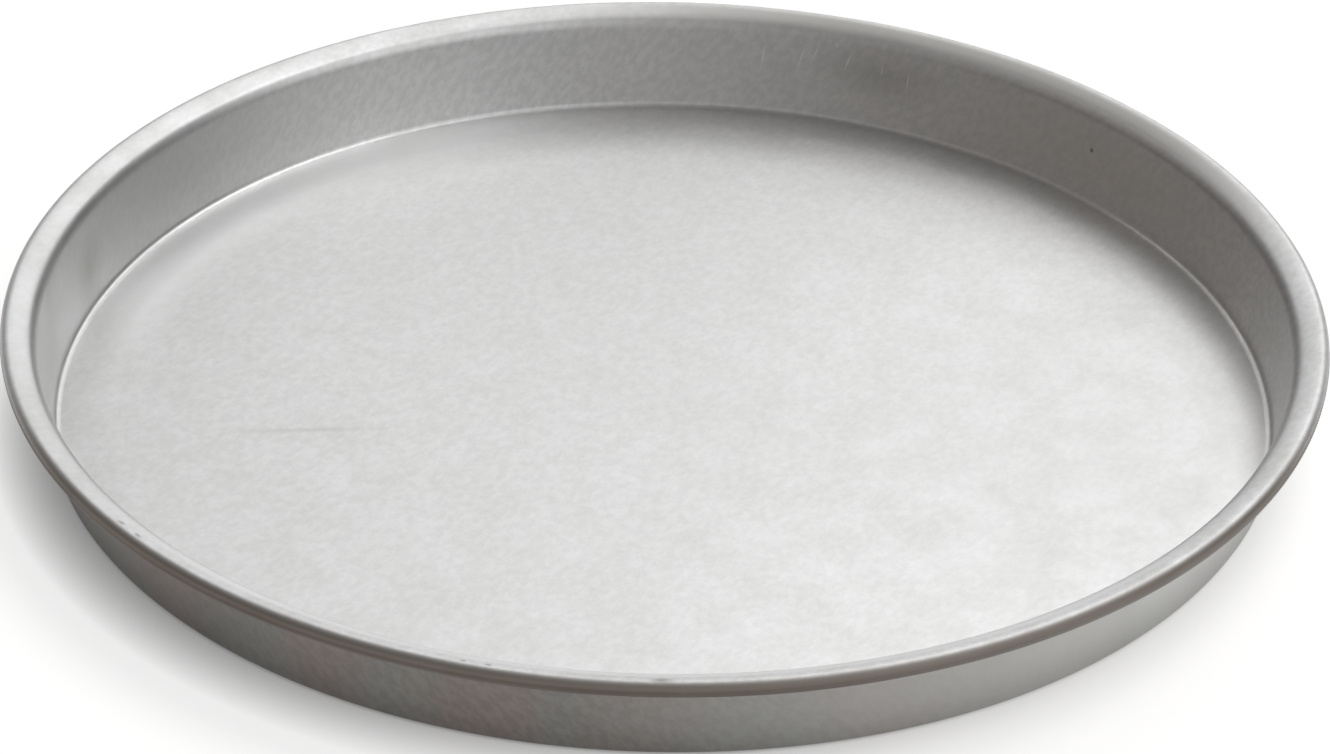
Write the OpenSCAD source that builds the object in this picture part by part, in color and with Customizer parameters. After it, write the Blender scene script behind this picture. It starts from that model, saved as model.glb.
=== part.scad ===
// Round baking pan with a leaning wall and a rolled, wired rim.
// +Z is up. The origin is the centre of the underside, on the surface that the pan stands on.
// Every profile is drawn in the X-Y plane as radius and height, and then turned about Z.

/* [Sheet] */
// Thickness of the sheet that the pan is pressed from
sheet_t = 1.0; // [0.6:0.1:1.4]

/* [Pan] */
// Diameter over the outside of the rolled rim
rim_d = 315; // [309:1:380]
// Height from the underside to the top of the rim
pan_h = 26; // [20:0.5:60]
// Diameter of the flat floor, up to where the corner bend starts
floor_d = 289; // [220:1:295]
// Inside radius of the bend between floor and wall
corner_r = 1.0; // [0.8:0.1:4]

/* [Rim] */
// Diameter of the wire inside the curl
wire_d = 1.6; // [1.2:0.1:2.4]
// Gap between the wire and the sheet that is curled round it
wire_clearance = 0.15; // [0.05:0.05:0.3]
// Outside radius of the shoulder, the bend where the wall turns outward into the rim
shoulder_r = 4.5; // [2:0.1:6]
// Width of the land, the gently crowned ledge between the shoulder and the curl
land_w = 3.8; // [2:0.1:5]
// Radius of the land's crown
crown_r = 18; // [8:1:40]
// Slope of the land where it runs into the curl, in degrees from level
land_slope = 10; // [4:1:20]
// Angle that the curl turns through, from the land outward and under
curl_turn = 260; // [210:5:265]
// Gap between the two cut ends of the wire ring
wire_end_gap = 1.0; // [0.5:0.1:3]

/* [Hidden] */
$fn = 240;
sheet_colour = "#b9b8b4";
wire_colour = "#8f9194";

// A quarter and a half turn, in degrees
quarter = 90;
half = 180;

// Straight down, the way a sheet's outer face looks under the floor
down = -quarter;

// Rim: the curl's bore holds the wire with its gap, and its outside is one sheet further out
bore_r = wire_d / 2 + wire_clearance;
curl_r = bore_r + sheet_t;
wire_path_r = rim_d / 2 - curl_r;
wire_z = pan_h - curl_r;

// A point at a distance and an angle from a centre
function polar(centre, r, angle) = centre + r * [cos(angle), sin(angle)];

// The ways that the land's upper face looks where it meets the curl and where it meets the shoulder
land_end = quarter + land_slope;
land_start = land_end + land_w / crown_r * half / PI;

// Centres of the bends, as radius and height. Each bend of the rim touches the next one where the
// sheet's upper face has the same direction in both.
floor_r = floor_d / 2;
corner_at = [floor_r, sheet_t + corner_r];
curl_at = [wire_path_r, wire_z];
crown_at = polar(curl_at, curl_r - crown_r, land_end);
shoulder_at = polar(crown_at, crown_r - shoulder_r, land_start);

// The wall's inner face is the straight line that touches the inside of the corner bend on one side
// and the outside of the shoulder on the other, so it crosses between their centres.
centre_line = shoulder_at - corner_at;
centre_angle = atan2(centre_line.y, centre_line.x);
cross_angle = asin((corner_r + shoulder_r) / norm(centre_line));
wall_angle = centre_angle + cross_angle;

// The way that the wall's outer face looks, as an angle in the profile
wall_out = wall_angle - quarter;

// The length of a sector's side that surely passes the arc that it cuts
function reach(r) = 2 * r;

// Part of a ring in the profile, between two angles that are under half a turn apart. Its straight ends
// have the sheet's faces as points, which the next part of the profile has too, so the parts join there.
module ring_part(centre, inner_r, outer_r, from, to) {
    middle = (from + to) / 2;
    intersection() {
        translate(centre)
            difference() {
                circle(r = outer_r);
                circle(r = inner_r);
            }
        polygon([
            centre,
            polar(centre, inner_r, from),
            polar(centre, outer_r, from),
            polar(centre, reach(outer_r), from),
            polar(centre, reach(outer_r), middle),
            polar(centre, reach(outer_r), to),
            polar(centre, outer_r, to),
            polar(centre, inner_r, to)
        ]);
    }
}

// A longer bend, made of equal parts that each turn less than half a turn
module bend(centre, inner_r, outer_r, from, to) {
    parts = ceil(abs(to - from) / quarter);
    step = (to - from) / parts;
    for (i = [0 : parts - 1])
        ring_part(centre, inner_r, outer_r, from + i * step, from + (i + 1) * step);
}

module floor_profile() {
    square([floor_r, sheet_t]);
}

module corner_profile() {
    bend(corner_at, corner_r, corner_r + sheet_t, down, wall_out);
}

// The wall ends where the two bends take over, so its four corners are points of theirs
module wall_profile() {
    polygon([
        polar(corner_at, corner_r, wall_out),
        polar(corner_at, corner_r + sheet_t, wall_out),
        polar(shoulder_at, shoulder_r - sheet_t, wall_out + half),
        polar(shoulder_at, shoulder_r, wall_out + half)
    ]);
}

module shoulder_profile() {
    bend(shoulder_at, shoulder_r - sheet_t, shoulder_r, wall_out + half, land_start);
}

module land_profile() {
    bend(crown_at, crown_r - sheet_t, crown_r, land_start, land_end);
}

module curl_profile() {
    bend(curl_at, bore_r, curl_r, land_end, land_end - curl_turn);
}

// One sheet from the middle of the floor to the raw edge under the rim
module pan_body() {
    color(sheet_colour)
        rotate_extrude() {
            floor_profile();
            corner_profile();
            wall_profile();
            shoulder_profile();
            land_profile();
            curl_profile();
        }
}

// A ring of wire, cut and bent round, whose ends stop short of each other
module rim_wire() {
    gap_angle = wire_end_gap / wire_path_r * half / PI;
    color(wire_colour)
        rotate(gap_angle / 2)
            rotate_extrude(angle = 2 * half - gap_angle)
                translate(curl_at)
                    circle(d = wire_d);
}

pan_body();
rim_wire();
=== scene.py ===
"""Round baking pan of satin aluminium sheet with a wired rim, on a pale studio floor."""

import logging
import math
from dataclasses import dataclass, field
from enum import Enum
from typing import ClassVar

import bpy
import numpy as np
from mathutils import Matrix, Vector

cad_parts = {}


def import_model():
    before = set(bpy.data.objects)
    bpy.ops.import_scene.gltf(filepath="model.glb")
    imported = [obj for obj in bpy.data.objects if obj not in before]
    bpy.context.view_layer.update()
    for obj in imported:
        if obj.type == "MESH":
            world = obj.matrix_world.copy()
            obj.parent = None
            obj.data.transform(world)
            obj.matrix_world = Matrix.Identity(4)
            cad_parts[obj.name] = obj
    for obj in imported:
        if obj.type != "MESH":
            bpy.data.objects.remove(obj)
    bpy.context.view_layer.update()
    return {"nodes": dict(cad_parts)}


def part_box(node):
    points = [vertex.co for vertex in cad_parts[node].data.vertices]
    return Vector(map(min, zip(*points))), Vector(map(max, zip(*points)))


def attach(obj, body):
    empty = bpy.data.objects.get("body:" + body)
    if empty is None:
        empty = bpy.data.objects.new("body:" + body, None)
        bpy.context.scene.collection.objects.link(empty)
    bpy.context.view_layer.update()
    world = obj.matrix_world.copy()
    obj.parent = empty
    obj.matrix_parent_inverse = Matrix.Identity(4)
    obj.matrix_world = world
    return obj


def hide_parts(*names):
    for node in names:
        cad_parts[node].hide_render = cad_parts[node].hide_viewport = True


LOG = logging.getLogger("baking_pan")

# Short names for what the finishes are made of: a tree of nodes, their sockets and a colour in it
Tree = bpy.types.NodeTree
Socket = bpy.types.NodeSocket
Colour = Socket | tuple[float, float, float, float]

# Lengths are written in millimetres and turned to metres by this factor
MM = 0.001
BODY = "root"
QUARTER_TURN = math.pi / 2

# The wall's mean radius, on which marks on the wall are placed by azimuth
WALL_RADIUS = 148.0

# A ring of points is picked by its radius to within this many millimetres
RING_TOLERANCE = 0.02

# Places of the Mix node's sockets, whose names are the same for numbers and for colours
MIX_SHARE = 0
MIX_NUMBER_A = 2
MIX_NUMBER_B = 3
MIX_NUMBER_OUT = 0
MIX_COLOUR_A = 6
MIX_COLOUR_B = 7
MIX_COLOUR_OUT = 2


class Node(Enum):
    """Names of the CAD nodes that this script dresses."""

    SHEET = "pan_body"
    WIRE = "rim_wire"


class Face(Enum):
    """The two faces of the sheet, each named for its finish."""

    # Both faces carry painted light and painted shade over the sheet's own colour
    INSIDE = "aluminium_sheet_rolled_and_washed_dull"
    OUTSIDE = "aluminium_sheet_rolled_and_tarnished"


def linear_colour(hex_code: str) -> tuple[float, float, float, float]:
    """Turn an sRGB hex colour to linear light.

    Args:
        hex_code: Six hex digits after a hash sign.

    Returns:
        Linear red, green, blue and an alpha of 1.
    """
    channels = [int(hex_code[i:i + 2], 16) / 255 for i in (1, 3, 5)]
    # The curve of the sRGB standard
    linear = [c / 12.92 if c <= 0.04045 else ((c + 0.055) / 1.055) ** 2.4 for c in channels]
    return (linear[0], linear[1], linear[2], 1.0)


def add_node(
    tree: Tree,
    kind: str,
    settings: dict[str, object] | None = None,
    links: dict[str | int, object] | None = None,
) -> bpy.types.Node:
    """Add one shader node with its settings and its inputs.

    Args:
        tree: The node tree that the node goes into.
        kind: The node's type, such as ShaderNodeMath.
        settings: Attributes of the node by name.
        links: Inputs by name or index, each an output socket to link or a value to set.

    Returns:
        The new node.
    """
    node = tree.nodes.new(kind)
    for name, value in (settings or {}).items():
        setattr(node, name, value)
    for name, value in (links or {}).items():
        if isinstance(value, Socket):
            tree.links.new(value, node.inputs[name])
        else:
            node.inputs[name].default_value = value
    return node


def deselect_all() -> None:
    """Go to object mode, with nothing selected."""
    if bpy.context.object and bpy.context.object.mode != "OBJECT":
        bpy.ops.object.mode_set(mode="OBJECT")
    bpy.ops.object.select_all(action="DESELECT")


def apply_modifiers(piece: bpy.types.Object) -> None:
    """Apply every modifier of a piece, in order.

    Args:
        piece: The piece, which is left selected.
    """
    deselect_all()
    bpy.context.view_layer.objects.active = piece
    piece.select_set(True)
    for modifier in list(piece.modifiers):
        bpy.ops.object.modifier_apply(modifier=modifier.name)


def points_of(piece: bpy.types.Object) -> np.ndarray:
    """Read where a piece's vertices are.

    Args:
        piece: The piece, in object mode.

    Returns:
        Places in millimetres, as rows of x, y and z.
    """
    places = np.empty(len(piece.data.vertices) * 3)
    piece.data.vertices.foreach_get("co", places)
    return places.reshape(-1, 3) / MM


def select_vertices(piece: bpy.types.Object, chosen: np.ndarray) -> None:
    """Select just these vertices of a piece, and go to edit mode.

    Args:
        piece: The piece, in object mode.
        chosen: One true or false for each vertex.
    """
    mesh = piece.data
    ends = np.empty(len(mesh.edges) * 2, dtype=np.int32)
    mesh.edges.foreach_get("vertices", ends)
    mesh.vertices.foreach_set("select", chosen)
    mesh.edges.foreach_set("select", chosen[ends].reshape(-1, 2).all(axis=1))
    mesh.polygons.foreach_set("select", [bool(chosen[list(p.vertices)].all()) for p in mesh.polygons])
    bpy.ops.object.mode_set(mode="EDIT")
    bpy.ops.mesh.select_mode(type="VERT")


def radii_of(places: np.ndarray) -> np.ndarray:
    """Return how far each place is from the pan's axis, in millimetres."""
    return np.hypot(places[:, 0], places[:, 1])


def weigh(piece: bpy.types.Object, name: str, weights: np.ndarray) -> str:
    """Store one weight for each vertex as a vertex group.

    Args:
        piece: The piece that gets the group.
        name: The group's name.
        weights: A weight from 0 to 1 for each vertex.

    Returns:
        The group's name, for a modifier's vertex_group.
    """
    group = piece.vertex_groups.new(name=name)
    for index in np.flatnonzero(weights > 0):
        group.add([int(index)], float(weights[index]), "REPLACE")
    return name


def unit(angle: float) -> Vector:
    """Return the direction at an angle, as x and y or as radius and height."""
    return Vector((math.cos(angle), math.sin(angle)))


def compass(azimuth: float, elevation: float) -> Vector:
    """Return the direction of an azimuth from +X and an elevation, both in degrees."""
    flat = unit(math.radians(azimuth)) * math.cos(math.radians(elevation))
    return Vector((flat.x, flat.y, math.sin(math.radians(elevation))))


def smooth_step(low: float, high: float, values: np.ndarray) -> np.ndarray:
    """Rise smoothly from 0 to 1.

    Args:
        low: The value up to which the result is 0.
        high: The value from which the result is 1.
        values: What the result is worked out for.

    Returns:
        A share from 0 to 1 for each value.
    """
    share = np.clip((values - low) / (high - low), 0, 1)
    return share * share * (3 - 2 * share)


def place_in_mm(tree: Tree) -> Socket:
    """Add the place on a piece to a material, in millimetres.

    Args:
        tree: The material's nodes.

    Returns:
        The place as a vector.
    """
    object_place = add_node(tree, "ShaderNodeTexCoord").outputs["Object"]
    scaled = add_node(tree, "ShaderNodeMapping", None, {
        "Vector": object_place,
        "Scale": (1 / MM, 1 / MM, 1 / MM),
    })
    return scaled.outputs["Vector"]


def new_metal(name: str) -> bpy.types.Material:
    """Make a bare metal material.

    Args:
        name: The material's name.

    Returns:
        The material, whose shader is metallic and has no links yet.
    """
    material = bpy.data.materials.new(name)
    material.use_nodes = True
    material.node_tree.nodes["Principled BSDF"].inputs["Metallic"].default_value = 1.0
    return material


def overlap(tree: Tree, *masks: Socket) -> Socket:
    """Find where some masks all lie, as their product.

    Args:
        tree: The material's nodes.
        masks: One mask or more, from 0 to 1.

    Returns:
        The product, from 0 to 1.
    """
    product = masks[0]
    for mask in masks[1:]:
        node = add_node(tree, "ShaderNodeMath", {"operation": "MULTIPLY"}, {0: product, 1: mask})
        product = node.outputs["Value"]
    return product


@dataclass(frozen=True)
class Grain:
    """A blotchy pattern, with its real size in millimetres along three axes."""

    size: tuple[float, float, float]
    turn: float = 0.0
    detail: float = 2.0
    # How strong each finer layer of the pattern is, as a share of the one before
    fineness: float = 0.6
    low: float = 0.35
    high: float = 0.65

    def add(self, tree: Tree, place: Socket) -> Socket:
        """Add the pattern to a material.

        Args:
            tree: The material's nodes.
            place: The place on the piece in millimetres.

        Returns:
            A share from 0 to 1.
        """
        turned = add_node(tree, "ShaderNodeMapping", {"vector_type": "TEXTURE"}, {
            "Vector": place,
            "Rotation": (0, 0, math.radians(self.turn)),
            "Scale": self.size,
        })
        noise = add_node(tree, "ShaderNodeTexNoise", None, {
            "Vector": turned.outputs["Vector"],
            "Scale": 1.0,
            "Detail": self.detail,
            "Roughness": self.fineness,
        })
        share = add_node(tree, "ShaderNodeMapRange", {"clamp": True}, {
            "Value": noise.outputs["Fac"],
            "From Min": self.low,
            "From Max": self.high,
        })
        return share.outputs["Result"]


@dataclass(frozen=True)
class Rise:
    """A smooth rise from 0 to 1 between two values, or a fall where the first is the larger."""

    start: float
    end: float

    def add(self, tree: Tree, value: Socket) -> Socket:
        """Add the rise to a material.

        Args:
            tree: The material's nodes.
            value: What goes from start to end.

        Returns:
            A share from 0 to 1.
        """
        ends = {
            "Value": value,
            "From Min": min(self.start, self.end),
            "From Max": max(self.start, self.end),
        }
        if self.start > self.end:
            ends |= {"To Min": 1.0, "To Max": 0.0}
        share = add_node(tree, "ShaderNodeMapRange", {"interpolation_type": "SMOOTHSTEP"}, ends)
        return share.outputs["Result"]


@dataclass(frozen=True)
class Mark:
    """A soft oval between two points of a flat or unrolled face, in millimetres, for a mark of use, of
    painted light or of painted shade.
    """

    start: tuple[float, float]
    end: tuple[float, float]
    width: float

    def add(self, tree: Tree, plane: Socket) -> Socket:
        """Add the mark to a material.

        Args:
            tree: The material's nodes.
            plane: The place on the face, with the third axis at 0.

        Returns:
            A share that is 1 at the oval's middle and falls to 0 at its edge.
        """
        start, end = Vector(self.start), Vector(self.end)
        along = end - start
        placed = add_node(tree, "ShaderNodeMapping", {"vector_type": "TEXTURE"}, {
            "Vector": plane,
            "Location": (*(start + end) / 2, 0),
            "Rotation": (0, 0, math.atan2(along.y, along.x)),
            "Scale": (along.length / 2, self.width / 2, 1),
        })
        oval = add_node(tree, "ShaderNodeTexGradient", {"gradient_type": "SPHERICAL"}, {
            "Vector": placed.outputs["Vector"],
        })
        return oval.outputs["Fac"]


def on_top(azimuth: float, radius: float) -> tuple[float, float]:
    """Return a point seen from above, as x and y, from its azimuth in degrees and its radius."""
    place = radius * unit(math.radians(azimuth))
    return (place.x, place.y)


def on_wall(azimuth: float, height: float) -> tuple[float, float]:
    """Return a point of the unrolled wall, as the way round from azimuth 0 and the height."""
    return (math.radians(azimuth) * WALL_RADIUS, height)


@dataclass(frozen=True)
class Layer:
    """A colour that covers what is below it where its mask is, up to a share."""

    colour: str
    share: float

    def over(self, tree: Tree, below: Colour, mask: Socket) -> Socket:
        """Add the layer.

        Args:
            tree: The material's nodes.
            below: The colour under the layer, as a socket or a value.
            mask: Where the layer lies, from 0 to 1.

        Returns:
            The colour with the layer on it.
        """
        share = add_node(tree, "ShaderNodeMath", {"operation": "MULTIPLY"}, {0: mask, 1: self.share})
        mix = add_node(tree, "ShaderNodeMix", {"data_type": "RGBA"}, {
            MIX_SHARE: share.outputs["Value"],
            MIX_COLOUR_A: below,
            MIX_COLOUR_B: linear_colour(self.colour),
        })
        return mix.outputs[MIX_COLOUR_OUT]


@dataclass(frozen=True)
class WearAndPaintedLight:
    """One kind of marking, wear, painted light or painted shade: a colour, the marks where it lies, and how
    their soft edges are drawn in.
    """

    layer: Layer
    marks: tuple[Mark, ...]
    fade: Rise | None = None

    def mask(self, tree: Tree, plane: Socket) -> Socket:
        """Join the marks to one mask, which is the highest of them at each place.

        Args:
            tree: The material's nodes.
            plane: The place on the face that the marks lie on.

        Returns:
            The mask, from 0 to 1.
        """
        joined = self.marks[0].add(tree, plane)
        for mark in self.marks[1:]:
            higher = add_node(tree, "ShaderNodeMath", {"operation": "MAXIMUM"}, {
                0: joined,
                1: mark.add(tree, plane),
            })
            joined = higher.outputs["Value"]
        return self.fade.add(tree, joined) if self.fade else joined

    def over(self, tree: Tree, below: Colour, plane: Socket, *limits: Socket) -> Socket:
        """Lay the wear over a colour.

        Args:
            tree: The material's nodes.
            below: The colour under the wear, as a socket or a value.
            plane: The place on the face that the marks lie on.
            limits: Masks that the wear is kept to.

        Returns:
            The colour with the wear on it.
        """
        return self.layer.over(tree, below, overlap(tree, self.mask(tree, plane), *limits))


@dataclass(frozen=True)
class SheetMap:
    """Sockets that tell a finish where on the sheet a point lies, in millimetres, and on which part."""

    # Radii over which one part of the sheet gives way to the next
    TO_WALL: ClassVar[Rise] = Rise(144.4, 145.4)
    TO_RIM: ClassVar[Rise] = Rise(150.2, 151.4)
    BELOW_RIM: ClassVar[Rise] = Rise(151.0, 149.6)

    tree: Tree
    place: Socket
    floor_plane: Socket
    wall_plane: Socket
    radius: Socket
    height: Socket
    wall: Socket
    rim: Socket
    below_rim: Socket

    @classmethod
    def draw(cls, tree: Tree) -> "SheetMap":
        """Add the places and the masks of the sheet's parts to a material.

        Args:
            tree: The material's nodes.

        Returns:
            The map.
        """
        place = place_in_mm(tree)
        axes = add_node(tree, "ShaderNodeSeparateXYZ", None, {0: place})
        floor_plane = add_node(tree, "ShaderNodeCombineXYZ", None, {
            "X": axes.outputs["X"],
            "Y": axes.outputs["Y"],
        }).outputs["Vector"]
        length = add_node(tree, "ShaderNodeVectorMath", {"operation": "LENGTH"}, {0: floor_plane})
        azimuth = add_node(tree, "ShaderNodeMath", {"operation": "ARCTAN2"}, {
            0: axes.outputs["Y"],
            1: axes.outputs["X"],
        })
        way_round = add_node(tree, "ShaderNodeMath", {"operation": "MULTIPLY"}, {
            0: azimuth.outputs["Value"],
            1: WALL_RADIUS,
        })
        wall_plane = add_node(tree, "ShaderNodeCombineXYZ", None, {
            "X": way_round.outputs["Value"],
            "Y": axes.outputs["Z"],
        }).outputs["Vector"]
        radius = length.outputs["Value"]
        return cls(
            tree=tree,
            place=place,
            floor_plane=floor_plane,
            wall_plane=wall_plane,
            radius=radius,
            height=axes.outputs["Z"],
            wall=cls.TO_WALL.add(tree, radius),
            rim=cls.TO_RIM.add(tree, radius),
            below_rim=cls.BELOW_RIM.add(tree, radius),
        )


@dataclass(frozen=True)
class TarnishAndPaintedLight:
    """Oven fat burnt on in a thin film, which turns the metal's grey brown; the colour is drawn darker
    still as painted shade, and holds painted light at the right and the darkest painted shade on the curl.
    """

    # Partly the tarnish's own brown-grey and partly painted shade: it is drawn darker than the tarnish
    # alone, for the shade that the outer face mirrors near the floor
    colour: str = "#8a827e"
    # The film is greyer in soft areas about 15 mm wide
    soft_areas: Grain = Grain(size=(34.0, 34.0, 60.0), detail=2, low=0.42, high=0.58)
    grey: Layer = Layer("#868783", 0.9)
    spots: Layer = Layer("#6a635f", 0.3)
    # Painted light: the right side is drawn much lighter, where the outer face mirrors the brightly lit
    # floor
    painted_light_right: WearAndPaintedLight = WearAndPaintedLight(Layer("#c8c8c6", 1.0), (
        Mark(on_wall(-98, 14.0), on_wall(22, 14.0), 60.0),
    ))
    # Painted shade: the curl's outer face is drawn the darkest, for the dark floor and room that it mirrors
    # in front
    curl: Layer = Layer("#6b615b", 0.9)
    # The share of the curl's painted shade that the painted light at the right takes away
    painted_light_on_curl: float = 0.42
    # Under the rim at the front left a pale line is drawn over a brown one; the brown one is painted shadow
    # in the gap between the curl and the wall
    lip: WearAndPaintedLight = WearAndPaintedLight(Layer("#c9c4c0", 0.25), (
        Mark(on_wall(-158, 23.25), on_wall(-82, 23.1), 0.5),
        Mark(on_wall(-111.9, 22.5), on_wall(-111.2, 22.7), 0.9),
    ))
    lip_painted_shadow: WearAndPaintedLight = WearAndPaintedLight(Layer("#5d524c", 0.5), (
        Mark(on_wall(-158, 22.75), on_wall(-82, 22.6), 0.55),
    ))

    def on_sheet(self, sheet: SheetMap, grain: Socket) -> Socket:
        """Colour the tarnished floor and wall, with painted light on the right side.

        Args:
            sheet: Where on the sheet a point lies.
            grain: The sheet's grain, from 0 to 1.

        Returns:
            The colour.
        """
        areas = self.soft_areas.add(sheet.tree, sheet.place)
        colour = self.grey.over(sheet.tree, linear_colour(self.colour), areas)
        colour = self.spots.over(sheet.tree, colour, grain)
        return self.painted_light_right.over(sheet.tree, colour, sheet.wall_plane)

    def on_curl(self, sheet: SheetMap, grain: Socket) -> Socket:
        """Colour the curl's outer face, drawn darkest of all as painted shade.

        Args:
            sheet: Where on the sheet a point lies.
            grain: The sheet's grain, from 0 to 1.

        Returns:
            The colour.
        """
        tree = sheet.tree
        curl_shade_left = add_node(tree, "ShaderNodeMath", {"operation": "MULTIPLY_ADD"}, {
            0: self.painted_light_right.mask(tree, sheet.wall_plane),
            1: -self.painted_light_on_curl,
            2: 1.0,
        }).outputs["Value"]
        colour = self.curl.over(tree, self.on_sheet(sheet, grain), curl_shade_left)
        for line in (self.lip, self.lip_painted_shadow):
            colour = line.over(tree, colour, sheet.wall_plane, sheet.rim)
        return colour


@dataclass(frozen=True)
class TarnishedAluminiumWithPaintedLight:
    """The pan's outer face: aluminium sheet with a satin sheen from the mill, brown-grey from the oven and
    darker still with painted shade, and lighter at the right with painted light.
    """

    face: ClassVar[Face] = Face.OUTSIDE
    roughness: float = 0.43
    rim_roughness: float = 0.58
    mottle_roughness: float = 0.05
    # The mill's grain is 0.1 mm wide, drawn here at about 1 mm because finer lines are lost in the render
    floor_grain: Grain = Grain(size=(2.4, 1.8, 1.8), turn=62, detail=4)
    # Washing leaves short slanted strokes on the wall, about 1 mm wide
    wall_grain: Grain = Grain(size=(3.0, 1.9, 1.0), turn=-50, detail=4, low=0.41, high=0.59)
    grain_depth: float = 0.004
    # Cloudy areas about 8 mm wide, a little rougher than the rest
    mottle: Grain = Grain(size=(16.0, 16.0, 16.0), detail=3)
    # A pressed sheet isn't quite flat, which bends the light in it a little
    waves: Grain = Grain(size=(70.0, 70.0, 70.0), detail=1, low=0.2, high=0.8)
    wave_depth: float = 0.05
    # At the left the wall is smoother and greyer than elsewhere, and part of its grain is gone
    rubbed: WearAndPaintedLight = WearAndPaintedLight(Layer("#dcdddc", 1.0), (
        Mark(on_wall(115, 12.0), on_wall(255, 12.0), 90.0),
        Mark(on_wall(-245, 12.0), on_wall(-105, 12.0), 90.0),
    ))
    grain_lost: float = 0.75
    mean_grain: float = 0.5
    tarnish_and_painted_light: TarnishAndPaintedLight = TarnishAndPaintedLight()

    def make(self) -> bpy.types.Material:
        """Build the material.

        Returns:
            The material, with its nodes.
        """
        material = new_metal(self.face.value)
        tree = material.node_tree
        shader = tree.nodes["Principled BSDF"]
        sheet = SheetMap.draw(tree)
        rubbed = overlap(tree, self.rubbed.mask(tree, sheet.wall_plane), sheet.wall)
        grain = self.grain(sheet, rubbed)
        mottle = self.mottle.add(tree, sheet.place)
        colour = self.colour(sheet, grain, mottle, rubbed)
        tree.links.new(colour, shader.inputs["Base Color"])

        even = add_node(tree, "ShaderNodeMix", {"data_type": "FLOAT"}, {
            MIX_SHARE: sheet.rim,
            MIX_NUMBER_A: self.roughness,
            MIX_NUMBER_B: self.rim_roughness,
        })
        rough = add_node(tree, "ShaderNodeMath", {"operation": "MULTIPLY_ADD"}, {
            0: mottle,
            1: self.mottle_roughness,
            2: even.outputs[MIX_NUMBER_OUT],
        })
        tree.links.new(rough.outputs["Value"], shader.inputs["Roughness"])

        wavy = add_node(tree, "ShaderNodeBump", None, {
            "Strength": 1.0,
            "Distance": self.wave_depth * MM,
            "Height": self.waves.add(tree, sheet.place),
        })
        grainy = add_node(tree, "ShaderNodeBump", None, {
            "Strength": 1.0,
            "Distance": self.grain_depth * MM,
            "Height": grain,
            "Normal": wavy.outputs["Normal"],
        })
        tree.links.new(grainy.outputs["Normal"], shader.inputs["Normal"])
        return material

    def grain(self, sheet: SheetMap, rubbed: Socket) -> Socket:
        """Add the sheet's grain: the floor's everywhere but on the wall, and less of it where it is rubbed.

        Args:
            sheet: Where on the sheet a point lies.
            rubbed: Where the wall has been rubbed smooth.

        Returns:
            The grain, from 0 to 1.
        """
        tree = sheet.tree
        whole = add_node(tree, "ShaderNodeMix", {"data_type": "FLOAT"}, {
            MIX_SHARE: overlap(tree, sheet.wall, sheet.below_rim),
            MIX_NUMBER_A: self.floor_grain.add(tree, sheet.place),
            MIX_NUMBER_B: self.wall_grain.add(tree, sheet.wall_plane),
        })
        lost = add_node(tree, "ShaderNodeMath", {"operation": "MULTIPLY"}, {0: rubbed, 1: self.grain_lost})
        left = add_node(tree, "ShaderNodeMix", {"data_type": "FLOAT"}, {
            MIX_SHARE: lost.outputs["Value"],
            MIX_NUMBER_A: whole.outputs[MIX_NUMBER_OUT],
            MIX_NUMBER_B: self.mean_grain,
        })
        return left.outputs[MIX_NUMBER_OUT]

    def colour(self, sheet: SheetMap, grain: Socket, mottle: Socket, rubbed: Socket) -> Socket:
        """Colour the outer face, whose film hides the mottle and the rubbing.

        Args:
            sheet: Where on the sheet a point lies.
            grain: The sheet's grain, from 0 to 1.
            mottle: Cloudy areas, from 0 to 1. Not used here.
            rubbed: Where the wall has been rubbed smooth. Not used here.

        Returns:
            The colour.
        """
        return self.tarnish_and_painted_light.on_sheet(sheet, grain)


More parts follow.
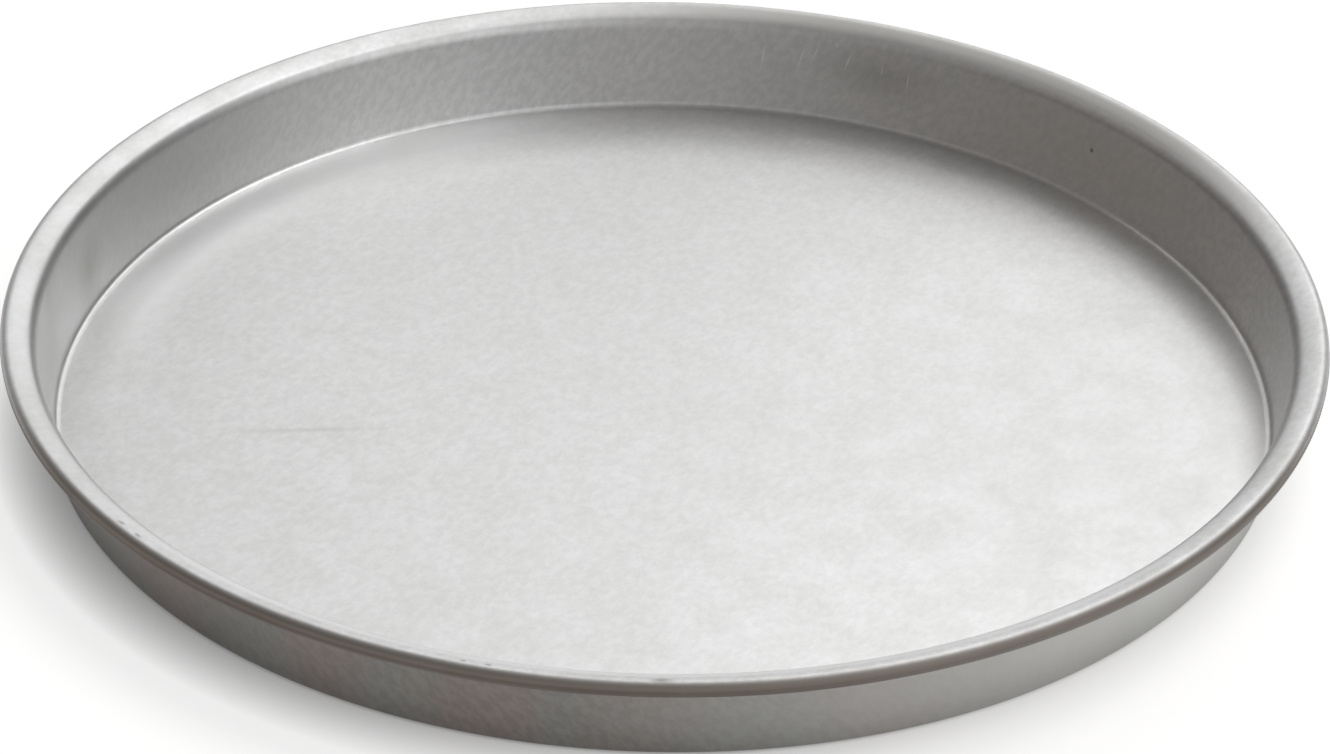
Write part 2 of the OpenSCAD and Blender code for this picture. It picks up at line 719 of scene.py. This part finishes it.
@dataclass(frozen=True)
class WashedAluminiumWithPaintedLight(TarnishedAluminiumWithPaintedLight):
    """The pan's inner face: the same sheet washed clean and dull, which gives a pale, even satin grey, with
    painted light and painted shade drawn over it.
    """

    face: ClassVar[Face] = Face.INSIDE
    # The rim's front and its back, on which the rim's painted light and painted shade lie
    FRONT: ClassVar[tuple[Mark, ...]] = (Mark(on_wall(-172, 25.0), on_wall(-8, 25.0), 150.0),)
    BACK: ClassVar[tuple[Mark, ...]] = (Mark(on_wall(5, 25.0), on_wall(108, 25.0), 150.0),)

    clean: str = "#e6e6e6"
    # Painted light and shade: the floor is drawn a little brighter at the left and darker at the right, as
    # the light falls on it
    painted_light_left_floor: WearAndPaintedLight = WearAndPaintedLight(Layer("#f4f4f4", 0.5), (
        Mark((-175.0, 20.0), (5.0, 20.0), 300.0),
    ))
    painted_shade_right_floor: WearAndPaintedLight = WearAndPaintedLight(Layer("#c8c8c8", 0.42), (
        Mark((30.0, -35.0), (230.0, -35.0), 240.0),
    ))
    # Painted light: the wall is drawn a little brighter than the floor
    painted_light_wall: Layer = Layer("#f1f1f1", 1.0)
    # Painted shade: the wall at the right is drawn darker and warmer, where it lies in shade
    painted_shade_right_wall: WearAndPaintedLight = WearAndPaintedLight(Layer("#e2d9d2", 1.0), (
        Mark(on_wall(-25, 12.0), on_wall(105, 12.0), 90.0),
    ))
    # The rubbed wall's grey is whole over most of its marks
    rubbed_fade: Rise = Rise(0.0, 0.55)
    # Painted shade: along the back the land is drawn darker, which tones down its highlight there
    painted_shade_back_land: WearAndPaintedLight = WearAndPaintedLight(Layer("#bbb9b6", 1.0), BACK, Rise(0.0, 0.7))
    land_outside: Rise = Rise(156.4, 153.6)
    # The washing is cloudy, and the grain shows as fine darker specks
    dull: Layer = Layer("#dad9d3", 0.16)
    grain_tone: Layer = Layer("#c4c4c2", 0.28)
    # Painted light: round the back left the floor's edge is drawn bright, where light from the lit wall
    # falls on it
    painted_light_floor_edge: WearAndPaintedLight = WearAndPaintedLight(Layer("#ffffff", 0.8), (
        Mark(on_wall(96, 0.0), on_wall(180, 0.0), 400.0),
    ), Rise(0.0, 0.5))
    edge_inside: Rise = Rise(122.0, 138.0)
    edge_outside: Rise = Rise(144.5, 144.1)
    # A long faint line on the floor's left half
    streak: WearAndPaintedLight = WearAndPaintedLight(Layer("#b9b5b0", 0.35), (
        Mark((-106.0, -19.6), (-62.0, -16.2), 3.0),
    ))
    # A smudge at the wall's left and one at its back
    smudges: WearAndPaintedLight = WearAndPaintedLight(Layer("#a5a19b", 0.4), (
        Mark(on_wall(161.0, 17.5), on_wall(167.5, 3.0), 16.0),
        Mark(on_wall(60.0, 15.0), on_wall(76.0, 15.0), 16.0),
    ))
    # Fine bright scratches down the back of the wall
    scratches: WearAndPaintedLight = WearAndPaintedLight(Layer("#ffffff", 0.9), (
        Mark(on_wall(80.25, 20.8), on_wall(80.8, 11.0), 0.5),
        Mark(on_wall(76.1, 21.3), on_wall(77.1, 12.0), 0.6),
        Mark(on_wall(74.6, 22.0), on_wall(75.6, 15.5), 0.5),
        Mark(on_wall(73.05, 22.4), on_wall(72.95, 20.4), 0.7),
        Mark(on_wall(71.4, 20.6), on_wall(72.1, 14.2), 0.6),
        Mark(on_wall(65.2, 18.0), on_wall(65.3, 12.4), 0.5),
        Mark(on_wall(68.05, 19.0), on_wall(68.15, 14.6), 0.5),
    ))
    # One burnt speck on the wall at the back right
    spot: WearAndPaintedLight = WearAndPaintedLight(Layer("#4a4743", 0.9), (
        Mark(on_wall(42.8, 14.4), on_wall(43.4, 14.5), 1.6),
    ))
    # The curl's top edge is nicked at the front left
    nicks: WearAndPaintedLight = WearAndPaintedLight(Layer("#5f5751", 0.55), (
        Mark(on_top(218.4, 155.0), on_top(219.6, 154.6), 1.6),
        Mark(on_top(220.8, 154.6), on_top(222.0, 155.2), 1.4),
        Mark(on_top(253.9, 155.1), on_top(254.6, 154.8), 1.2),
        Mark(on_top(255.9, 154.8), on_top(256.8, 155.1), 1.2),
        Mark(on_top(269.0, 155.3), on_top(271.4, 155.3), 2.6),
    ))
    # Painted light: round the front the land's inner edge is drawn bright
    painted_light_front_land: WearAndPaintedLight = WearAndPaintedLight(Layer("#fefefe", 1.0), FRONT, Rise(0.2, 0.6))
    land_inside: Rise = Rise(154.4, 152.4)
    # There painted shade also reaches up over the curl's top
    painted_shade_curl_top: WearAndPaintedLight = WearAndPaintedLight(Layer("#a0978f", 1.0), FRONT, Rise(0.0, 0.3))
    over_curl_top: Rise = Rise(155.4, 157.3)
    # The curl's outer face, by its radius and its height
    curl_outside: Rise = Rise(153.0, 153.5)
    curl_side: Rise = Rise(25.2, 24.0)

    def colour(self, sheet: SheetMap, grain: Socket, mottle: Socket, rubbed: Socket) -> Socket:
        """Colour the inner face: washed sheet, its wear, its painted light and shade, and the tarnished
        curl with its painted shade at its edge.

        Args:
            sheet: Where on the sheet a point lies.
            grain: The sheet's grain, from 0 to 1.
            mottle: Cloudy areas, from 0 to 1.
            rubbed: Where the wall has been rubbed smooth.

        Returns:
            The colour.
        """
        tree = sheet.tree
        grey = overlap(tree, self.rubbed_fade.add(tree, rubbed), sheet.below_rim)
        on_land = self.land_outside.add(tree, sheet.radius)
        colour = self.painted_light_left_floor.over(tree, linear_colour(self.clean), sheet.floor_plane)
        colour = self.painted_shade_right_floor.over(tree, colour, sheet.floor_plane)
        colour = self.painted_light_wall.over(tree, colour, sheet.wall)
        colour = self.painted_shade_right_wall.over(tree, colour, sheet.wall_plane, sheet.wall, sheet.below_rim)
        colour = self.rubbed.layer.over(tree, colour, grey)
        colour = self.painted_shade_back_land.over(tree, colour, sheet.wall_plane, on_land, sheet.rim)
        colour = self.dull.over(tree, colour, mottle)
        colour = self.grain_tone.over(tree, colour, grain)
        colour = self.wear_and_painted_light(sheet, colour)
        curl = overlap(
            tree,
            self.curl_outside.add(tree, sheet.radius),
            self.curl_side.add(tree, sheet.height),
        )
        mix = add_node(tree, "ShaderNodeMix", {"data_type": "RGBA"}, {
            MIX_SHARE: curl,
            MIX_COLOUR_A: colour,
            MIX_COLOUR_B: self.tarnish_and_painted_light.on_curl(sheet, grain),
        })
        return mix.outputs[MIX_COLOUR_OUT]

    def wear_and_painted_light(self, sheet: SheetMap, colour: Socket) -> Socket:
        """Lay the marks of use, painted light and painted shade over the washed sheet, from the floor out
        to the rim.

        Args:
            sheet: Where on the sheet a point lies.
            colour: The washed sheet's colour.

        Returns:
            The colour with the marks.
        """
        tree = sheet.tree
        floor_edge = overlap(
            tree,
            self.edge_inside.add(tree, sheet.radius),
            self.edge_outside.add(tree, sheet.radius),
        )
        colour = self.painted_light_floor_edge.over(tree, colour, sheet.wall_plane, floor_edge)
        colour = self.streak.over(tree, colour, sheet.floor_plane)
        for wear in (self.smudges, self.scratches, self.spot):
            colour = wear.over(tree, colour, sheet.wall_plane, sheet.wall)
        colour = self.nicks.over(tree, colour, sheet.floor_plane, sheet.rim)
        on_land = self.land_inside.add(tree, sheet.radius)
        colour = self.painted_light_front_land.over(tree, colour, sheet.wall_plane, on_land, sheet.rim)
        on_top_edge = self.over_curl_top.add(tree, sheet.radius)
        return self.painted_shade_curl_top.over(tree, colour, sheet.wall_plane, on_top_edge)


@dataclass(frozen=True)
class GalvanisedWire:
    """Drawn steel wire with a zinc coat: a cool mid grey with a soft gloss and a faint spangle."""

    name: str = "steel_wire_drawn_and_galvanised"
    colour: str = "#b9bcbe"
    oxide: Layer = Layer("#8f9190", 0.7)
    roughness: float = 0.48
    # Zinc spangle about 2 mm wide
    spangle: Grain = Grain(size=(4.0, 4.0, 4.0), detail=3)
    spangle_roughness: float = 0.12
    spangle_depth: float = 0.01

    def make(self) -> bpy.types.Material:
        """Build the material.

        Returns:
            The material, with its nodes.
        """
        material = new_metal(self.name)
        tree = material.node_tree
        shader = tree.nodes["Principled BSDF"]
        spangle = self.spangle.add(tree, place_in_mm(tree))
        colour = self.oxide.over(tree, linear_colour(self.colour), spangle)
        tree.links.new(colour, shader.inputs["Base Color"])
        rough = add_node(tree, "ShaderNodeMath", {"operation": "MULTIPLY_ADD"}, {
            0: spangle,
            1: self.spangle_roughness,
            2: self.roughness,
        })
        tree.links.new(rough.outputs["Value"], shader.inputs["Roughness"])
        bump = add_node(tree, "ShaderNodeBump", None, {
            "Strength": 1.0,
            "Distance": self.spangle_depth * MM,
            "Height": spangle,
        })
        tree.links.new(bump.outputs["Normal"], shader.inputs["Normal"])
        return material


@dataclass
class PanSheet:
    """The pressed sheet: floor, corner bend, leaning wall, shoulder, land and curl, in millimetres."""

    # The clouds that shake the rim lie about as far above this value as below it
    CLOUD_MIDDLE: ClassVar[float] = 0.5

    floor_radius: float = 144.5
    # Drawn a little larger than the solid's 1.0 mm, so that its line of light can be seen
    corner_radius: float = 1.4
    shoulder_radius: float = 4.5
    land_width: float = 3.8
    crown_radius: float = 18.0
    land_slope: float = math.radians(10)
    thickness: float = 1.0
    curl_turn: float = math.radians(260)
    # The die's edge leaves a fine groove just inside the corner bend
    groove_radius: float = 144.2
    groove_width: float = 0.4
    groove_depth: float = 0.08
    # The curled rim is slightly uneven, from nothing at the top of the wall to all of it at the curl
    rim_unevenness: float = 0.12
    rim_wave_length: float = 22.0
    rim_wave_depth: int = 1
    even_radius: float = 149.0
    uneven_radius: float = 153.0
    segments: int = 720
    floor_rings: int = 12
    corner_steps: int = 6
    wall_steps: int = 5
    shoulder_steps: int = 8
    land_steps: int = 3
    curl_steps: int = 18
    smooth_angle: float = math.radians(40)
    inside: WashedAluminiumWithPaintedLight = field(default_factory=WashedAluminiumWithPaintedLight)
    outside: TarnishedAluminiumWithPaintedLight = field(default_factory=TarnishedAluminiumWithPaintedLight)
    # Taken from the frame, so that the sheet fits the solids
    rim_radius: float = field(init=False)
    height: float = field(init=False)
    wire_height: float = field(init=False)
    curl_radius: float = field(init=False)
    path_radius: float = field(init=False)

    def __post_init__(self) -> None:
        """Take the rim's place from the frame."""
        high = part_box(Node.SHEET.value)[1] / MM
        wire_low, wire_high = (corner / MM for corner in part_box(Node.WIRE.value))
        self.rim_radius = high.x
        self.height = high.z
        self.wire_height = (wire_low.z + wire_high.z) / 2
        self.curl_radius = self.height - self.wire_height
        self.path_radius = self.rim_radius - self.curl_radius

    def arc(self, centre: Vector, radius: float, start: float, end: float, steps: int) -> list[Vector]:
        """Find points along an arc of the profile, without its first one.

        Args:
            centre: Radius and height of the arc's centre.
            radius: The arc's radius.
            start: The angle where it starts, from straight outward.
            end: The angle where it ends.
            steps: How many points it takes.

        Returns:
            The points as radius and height.
        """
        angles = [start + (end - start) * (i + 1) / steps for i in range(steps)]
        return [centre + radius * unit(a) for a in angles]

    def profile(self) -> list[Vector]:
        """Follow the sheet's upper face from the floor's edge to the raw edge under the rim.

        Returns:
            Points as radius and height in millimetres, without the floor's edge itself.
        """
        land_end = QUARTER_TURN + self.land_slope
        land_start = land_end + self.land_width / self.crown_radius
        corner = Vector((self.floor_radius, self.thickness + self.corner_radius))
        curl = Vector((self.path_radius, self.wire_height))
        crown = curl + (self.curl_radius - self.crown_radius) * unit(land_end)
        shoulder = crown + (self.crown_radius - self.shoulder_radius) * unit(land_start)
        across = shoulder - corner
        crossing = math.asin((self.corner_radius + self.shoulder_radius) / across.length)
        wall_out = math.atan2(across.y, across.x) + crossing - QUARTER_TURN
        points = self.arc(corner, self.corner_radius, -QUARTER_TURN, wall_out, self.corner_steps)
        foot = points[-1]
        top = shoulder - self.shoulder_radius * unit(wall_out)
        points += [foot.lerp(top, (i + 1) / self.wall_steps) for i in range(self.wall_steps)]
        bend_start = wall_out + math.pi
        points += self.arc(shoulder, self.shoulder_radius, bend_start, land_start, self.shoulder_steps)
        points += self.arc(crown, self.crown_radius, land_start, land_end, self.land_steps)
        points += self.arc(curl, self.curl_radius, land_end, land_end - self.curl_turn, self.curl_steps)
        return points

    def build(self) -> bpy.types.Object:
        """Draw the floor's edge as a circle, extrude it along the profile and make it sheet.

        Returns:
            The finished piece.
        """
        deselect_all()
        bpy.ops.mesh.primitive_circle_add(
            vertices=self.segments,
            radius=self.floor_radius * MM,
            fill_type="NOTHING",
            location=(0, 0, self.thickness * MM),
        )
        piece = bpy.context.object
        piece.name = piece.data.name = "pan_sheet"
        bpy.ops.object.transform_apply(location=True, rotation=True, scale=True)
        bpy.ops.object.mode_set(mode="EDIT")
        bpy.ops.mesh.select_mode(type="VERT")
        bpy.ops.mesh.select_all(action="SELECT")
        here = Vector((self.floor_radius, self.thickness))
        for there in self.profile():
            self.extrude_ring(here, there)
            here = there
        bpy.ops.object.mode_set(mode="OBJECT")
        self.close_floor(piece)
        self.thicken(piece)
        self.press_groove(piece)
        self.shake_rim(piece)
        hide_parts(Node.SHEET.value)
        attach(piece, BODY)
        LOG.info("%s: %d faces", piece.name, len(piece.data.polygons))
        return piece

    def extrude_ring(self, here: Vector, there: Vector) -> None:
        """Extrude the selected ring from one point of the profile to the next, in edit mode.

        Args:
            here: Radius and height of the selected ring.
            there: Radius and height of the new ring, which is selected afterwards.
        """
        rise = (there.y - here.y) * MM
        bpy.ops.mesh.extrude_region_move(TRANSFORM_OT_translate={"value": (0, 0, rise)})
        share = there.x / here.x
        bpy.ops.transform.resize(value=(share, share, 1), center_override=(0, 0, 0))

    def close_floor(self, piece: bpy.types.Object) -> None:
        """Extrude the floor's edge inward, ring by ring, and merge the last ring at the centre.

        Args:
            piece: The sheet without its floor, in object mode.
        """
        select_vertices(piece, radii_of(points_of(piece)) < self.floor_radius + RING_TOLERANCE)
        groove = [self.groove_radius + side * self.groove_width / 2 for side in (1, 0, -1)]
        even = [self.floor_radius * ring / self.floor_rings for ring in range(self.floor_rings - 1, 0, -1)]
        here = Vector((self.floor_radius, 0))
        for radius in groove + even:
            there = Vector((radius, 0))
            self.extrude_ring(here, there)
            here = there
        bpy.ops.mesh.extrude_region_move()
        bpy.ops.mesh.merge(type="CENTER")
        bpy.ops.object.mode_set(mode="OBJECT")

    def thicken(self, piece: bpy.types.Object) -> None:
        """Turn the normals up, give the sheet its thickness downward and smooth its shading.

        Args:
            piece: The sheet's upper face, in object mode. It gets both finishes, one for each face.
        """
        deselect_all()
        bpy.context.view_layer.objects.active = piece
        piece.select_set(True)
        bpy.ops.object.mode_set(mode="EDIT")
        bpy.ops.mesh.select_all(action="SELECT")
        bpy.ops.mesh.normals_make_consistent(inside=False)
        bpy.ops.object.mode_set(mode="OBJECT")
        centre_face = min(piece.data.polygons, key=lambda p: p.center.xy.length)
        if centre_face.normal.z < 0:
            bpy.ops.object.mode_set(mode="EDIT")
            bpy.ops.mesh.flip_normals()
            bpy.ops.object.mode_set(mode="OBJECT")
        for finish in (self.inside, self.outside):
            piece.data.materials.append(finish.make())
        sheet = piece.modifiers.new("thickness", "SOLIDIFY")
        sheet.thickness = self.thickness * MM
        sheet.offset = -1
        sheet.use_even_offset = True
        sheet.material_offset = 1
        apply_modifiers(piece)
        bpy.ops.object.shade_smooth_by_angle(angle=self.smooth_angle)

    def press_groove(self, piece: bpy.types.Object) -> None:
        """Lower the ring of the floor's upper face that lies in the groove.

        Args:
            piece: The sheet with its thickness, in object mode.
        """
        places = points_of(piece)
        in_groove = np.abs(radii_of(places) - self.groove_radius) < RING_TOLERANCE
        select_vertices(piece, in_groove & (places[:, 2] > self.thickness / 2))
        bpy.ops.transform.translate(value=(0, 0, -self.groove_depth * MM))
        bpy.ops.object.mode_set(mode="OBJECT")

    def shake_rim(self, piece: bpy.types.Object) -> None:
        """Give the rim the slight unevenness of a curled edge.

        Args:
            piece: The sheet with its thickness, in object mode.
        """
        weights = smooth_step(self.even_radius, self.uneven_radius, radii_of(points_of(piece)))
        texture = bpy.data.textures.new("rim_unevenness", "CLOUDS")
        texture.noise_scale = self.rim_wave_length * MM
        texture.noise_depth = self.rim_wave_depth
        for name, direction in (("rim_sideways", "X"), ("rim_lengthways", "Y"), ("rim_up", "Z")):
            shake = piece.modifiers.new(name, "DISPLACE")
            shake.texture = texture
            shake.texture_coords = "LOCAL"
            shake.direction = direction
            shake.mid_level = self.CLOUD_MIDDLE
            shake.strength = self.rim_unevenness * MM
            shake.vertex_group = weigh(piece, name, weights)
        apply_modifiers(piece)


@dataclass
class RimWire:
    """The stiffening wire inside the curl, a CAD node that keeps its shape."""

    finish: GalvanisedWire = field(default_factory=GalvanisedWire)

    def dress(self, wire: bpy.types.Object) -> None:
        """Give the wire its finish.

        Args:
            wire: The wire's CAD node.
        """
        wire.data.materials.clear()
        wire.data.materials.append(self.finish.make())
        LOG.info("%s: %s", wire.name, self.finish.name)


@dataclass(frozen=True)
class SoftBox:
    """A round soft box that faces the pan, with its place in degrees and metres."""

    name: str
    azimuth: float
    elevation: float
    radiance: float
    distance: float = 2.5
    diameter: float = 1.135

    def build(self) -> None:
        """Add the lamp, turned to the pan and as strong as its radiance makes a disc of its size."""
        data = bpy.data.lights.new(self.name, "AREA")
        data.shape = "DISK"
        data.size = self.diameter
        area = math.pi * self.diameter ** 2 / 4
        data.energy = self.radiance * math.pi * area
        lamp = bpy.data.objects.new(self.name, data)
        bpy.context.scene.collection.objects.link(lamp)
        towards = compass(self.azimuth, self.elevation)
        turn = towards.to_track_quat("Z", "Y").to_matrix().to_4x4()
        lamp.matrix_world = Matrix.Translation(self.distance * towards) @ turn


@dataclass(frozen=True)
class Glow:
    """A wide soft glow of the room, brightest at its middle, whose angles are in degrees."""

    azimuth: float
    elevation: float
    strength: float
    narrowness: float = 10.0


@dataclass
class Studio:
    """A pale paper floor, four soft boxes and the dim glow of a room."""

    # The paper's side in metres, and how many millimetres it lies under the pan
    floor_size: float = 12.0
    floor_drop: float = 0.05
    paper: str = "#c8c7c5"
    paper_glow: float = 0.72
    # The paper's shade is the soft shadow of light from the right, and reaches this many millimetres
    shade_reach: float = 15.0
    shade_samples: int = 16
    shade_azimuth: float = 0.0
    shade_elevation: float = 40.0
    boxes: tuple[SoftBox, ...] = (
        SoftBox("soft_box_back", 80, 45, 1.27),
        SoftBox("soft_box_back_left", 110, 45, 1.15),
        SoftBox("soft_box_back_low", 70, 33, 1.09),
        SoftBox("soft_box_back_high", 47, 60, 4.57),
    )
    glows: tuple[Glow, ...] = (
        Glow(90, 10, 0.77),
        Glow(225, 10, 0.07),
        Glow(270, 10, 0.40),
        Glow(165, 38, 0.30),
        Glow(210, 38, 0.19),
        Glow(250, 38, 0.22),
        Glow(325, 38, 1.58),
        Glow(185, 62, 0.07),
        Glow(340, 62, 0.14),
    )

    def build(self) -> None:
        """Add the floor, the soft boxes and the glow."""
        self.lay_floor()
        for box in self.boxes:
            box.build()
        self.light_room()
        LOG.info("studio: %d soft boxes, %d glows", len(self.boxes), len(self.glows))

    def lay_floor(self) -> None:
        """Lay the paper that the pan stands on, just under it, as part of the stage."""
        deselect_all()
        bpy.ops.mesh.primitive_plane_add(size=self.floor_size, location=(0, 0, -self.floor_drop * MM))
        floor = bpy.context.object
        floor.name = floor.data.name = "paper_floor"
        bpy.ops.object.transform_apply(location=True, rotation=True, scale=True)
        floor.data.materials.append(self.paper_material())

    def paper_material(self) -> bpy.types.Material:
        """Make matt paper that looks white in the open and is shaded near the pan.

        Returns:
            The material. Its back is clear, so that the pan can be seen from below.
        """
        material = bpy.data.materials.new("paper_matt_white")
        material.use_nodes = True
        tree = material.node_tree
        tree.nodes.clear()
        ray = add_node(tree, "ShaderNodeLightPath")
        seen = ray.outputs["Is Camera Ray"]
        for kind in ("Is Glossy Ray", "Is Transmission Ray"):
            node = add_node(tree, "ShaderNodeMath", {"operation": "MAXIMUM"}, {
                0: seen,
                1: ray.outputs[kind],
            })
            seen = node.outputs["Value"]
        side = compass(self.shade_azimuth, self.shade_elevation)
        towards = add_node(tree, "ShaderNodeCombineXYZ", None, {"X": side.x, "Y": side.y, "Z": side.z})
        shade = add_node(tree, "ShaderNodeAmbientOcclusion", {"samples": self.shade_samples}, {
            "Distance": self.shade_reach * MM,
            "Normal": towards.outputs["Vector"],
        })
        glow = add_node(tree, "ShaderNodeMath", {"operation": "MULTIPLY"}, {
            0: seen,
            1: shade.outputs["AO"],
        })
        level = add_node(tree, "ShaderNodeMath", {"operation": "MULTIPLY"}, {
            0: glow.outputs["Value"],
            1: self.paper_glow,
        })
        matt = add_node(tree, "ShaderNodeBsdfDiffuse", None, {"Color": linear_colour(self.paper)})
        white = add_node(tree, "ShaderNodeEmission", None, {"Strength": level.outputs["Value"]})
        paper = add_node(tree, "ShaderNodeAddShader", None, {
            0: matt.outputs["BSDF"],
            1: white.outputs["Emission"],
        })
        clear = add_node(tree, "ShaderNodeBsdfTransparent")
        face = add_node(tree, "ShaderNodeNewGeometry")
        mix = add_node(tree, "ShaderNodeMixShader", None, {
            0: face.outputs["Backfacing"],
            1: paper.outputs["Shader"],
            2: clear.outputs["BSDF"],
        })
        add_node(tree, "ShaderNodeOutputMaterial", None, {"Surface": mix.outputs["Shader"]})
        return material

    def light_room(self) -> None:
        """Make the world's light as the sum of the glows."""
        world = bpy.data.worlds.new("room")
        world.use_nodes = True
        tree = world.node_tree
        tree.nodes.clear()
        direction = add_node(tree, "ShaderNodeTexCoord").outputs["Generated"]
        total: Socket | float = 0.0
        for glow in self.glows:
            toward = add_node(tree, "ShaderNodeVectorMath", {"operation": "DOT_PRODUCT"}, {
                0: direction,
                1: compass(glow.azimuth, glow.elevation),
            })
            fall = add_node(tree, "ShaderNodeMath", {"operation": "MULTIPLY_ADD"}, {
                0: toward.outputs["Value"],
                1: glow.narrowness,
                2: -glow.narrowness,
            })
            lobe = add_node(tree, "ShaderNodeMath", {"operation": "EXPONENT"}, {0: fall.outputs["Value"]})
            node = add_node(tree, "ShaderNodeMath", {"operation": "MULTIPLY_ADD"}, {
                0: lobe.outputs["Value"],
                1: glow.strength,
                2: total,
            })
            total = node.outputs["Value"]
        sky = add_node(tree, "ShaderNodeBackground", None, {"Strength": total})
        add_node(tree, "ShaderNodeOutputWorld", None, {"Surface": sky.outputs["Background"]})
        bpy.context.scene.world = world


@dataclass
class Camera:
    """The photograph's viewpoint, worked out from the rim's and the floor's outlines in it.

    Lengths are in millimetres, and those that end in px are pixels of the photograph's frame.
    """

    elevation: float = math.radians(31.844)
    distance: float = 1308.5
    roll: float = math.radians(-1.013)
    frame_width_px: float = 1330.0
    focal_px: float = 5442.8
    aim_x_px: float = -0.77
    aim_y_px: float = -23.02
    sensor_width: float = 36.0
    nearest: float = 10.0
    furthest: float = 20000.0

    def build(self) -> bpy.types.Object:
        """Add the camera and make it the scene's own.

        Returns:
            The camera.
        """
        data = bpy.data.cameras.new("camera")
        data.sensor_width = self.sensor_width
        data.lens = self.focal_px / self.frame_width_px * self.sensor_width
        data.dof.use_dof = False
        data.clip_start = self.nearest * MM
        data.clip_end = self.furthest * MM
        camera = bpy.data.objects.new("camera", data)
        bpy.context.scene.collection.objects.link(camera)
        level = Matrix.Rotation(QUARTER_TURN - self.elevation, 3, "X")
        yaw = Matrix.Rotation(self.aim_x_px / self.focal_px, 3, "Y")
        pitch = Matrix.Rotation(self.aim_y_px / self.focal_px, 3, "X")
        roll = Matrix.Rotation(self.roll, 3, "Z")
        turn = level @ (roll @ pitch @ yaw.transposed()).transposed()
        place = self.distance * MM * Vector((0, -math.cos(self.elevation), math.sin(self.elevation)))
        camera.matrix_world = Matrix.Translation(place) @ turn.to_4x4()
        bpy.context.scene.camera = camera
        return camera


def main() -> None:
    """Load the frame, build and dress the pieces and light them."""
    logging.basicConfig(level=logging.INFO, format="%(name)s %(message)s")
    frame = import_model()
    PanSheet().build()
    RimWire().dress(frame["nodes"][Node.WIRE.value])
    Studio().build()
    Camera().build()
    bpy.context.scene.view_settings.view_transform = "Standard"


if __name__ == "__main__":
    main()
